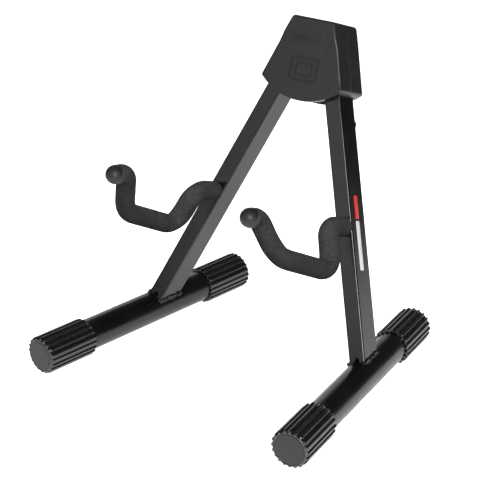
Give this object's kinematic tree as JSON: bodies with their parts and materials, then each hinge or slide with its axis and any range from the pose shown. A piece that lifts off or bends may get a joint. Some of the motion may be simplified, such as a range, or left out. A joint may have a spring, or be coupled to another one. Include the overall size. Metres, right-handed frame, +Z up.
{
  "type": "folding guitar stand",
  "caption": "Black folding A-frame stand: two splayed tubular legs on a hinge block, ribbed rubber feet and foam-padded yokes that cradle a guitar body.",
  "frame": {"origin": "on the floor, below the centre of the open stand's box", "axes": "+Z up; the yokes reach towards -Y; +X runs across the two feet, towards the leg that carries the button"},
  "size_m": [0.403, 0.3526, 0.3937],
  "materials": {
    "cover_plastic": "fine textured black moulding",
    "plate_steel": "zinc plated sheet",
    "pin_steel": "turned steel",
    "bush_plastic": "natural nylon",
    "leg_paint": "satin black powder coat",
    "foot_paint": "gloss black paint",
    "weld_paint": "painted weld bead",
    "cap_rubber": "ribbed black rubber",
    "yoke_foam": "closed cell foam, matt",
    "rod_steel": "drawn rod",
    "cap_plastic": "satin black moulding",
    "button_plastic": "satin black moulding",
    "spring_steel": "spring wire"
  },
  "bodies": {
    "hinge_block": {"front_cover": "cover_plastic", "rear_cover": "cover_plastic", "cover_screws": "pin_steel", "front_hinge_plate": "plate_steel", "rear_hinge_plate": "plate_steel", "left_pivot_pin": "pin_steel", "right_pivot_pin": "pin_steel", "left_stop_pin": "pin_steel", "right_stop_pin": "pin_steel"},
    "left_leg": {"left_leg_tube": "leg_paint", "left_foot_tube": "foot_paint", "left_weld_beads": "weld_paint", "left_front_foot_cap": "cap_rubber", "left_rear_foot_cap": "cap_rubber", "left_yoke_rod": "rod_steel", "left_yoke_foam": "yoke_foam", "left_yoke_cap": "cap_plastic", "left_pivot_bushes": "bush_plastic"},
    "right_leg": {"right_leg_tube": "leg_paint", "right_foot_tube": "foot_paint", "right_weld_beads": "weld_paint", "right_front_foot_cap": "cap_rubber", "right_rear_foot_cap": "cap_rubber", "right_yoke_rod": "rod_steel", "right_yoke_foam": "yoke_foam", "right_yoke_cap": "cap_plastic", "right_pivot_bushes": "bush_plastic", "button_spring": "spring_steel"},
    "button": {"release_button": "button_plastic"}
  },
  "joints": [
    {"name": "left_leg_fold", "type": "hinge", "parent": "hinge_block", "child": "left_leg", "pos_m": [-0.01743, 0.14403, 0.36185], "axis": [0, -0.9361, 0.3518], "range_deg": [0, 19.2]},
    {"name": "right_leg_fold", "type": "hinge", "parent": "hinge_block", "child": "right_leg", "pos_m": [0.01743, 0.14403, 0.36185], "axis": [0, 0.9361, -0.3518], "range_deg": [0, 19.2]},
    {"name": "button_press", "type": "slide", "parent": "right_leg", "child": "button", "axis": [0, -0.9361, 0.3518], "range_m": [0, 0.004], "stiffness_N_per_m": 400, "springref_m": -0.004, "deforming": ["button_spring"]}
  ]
}
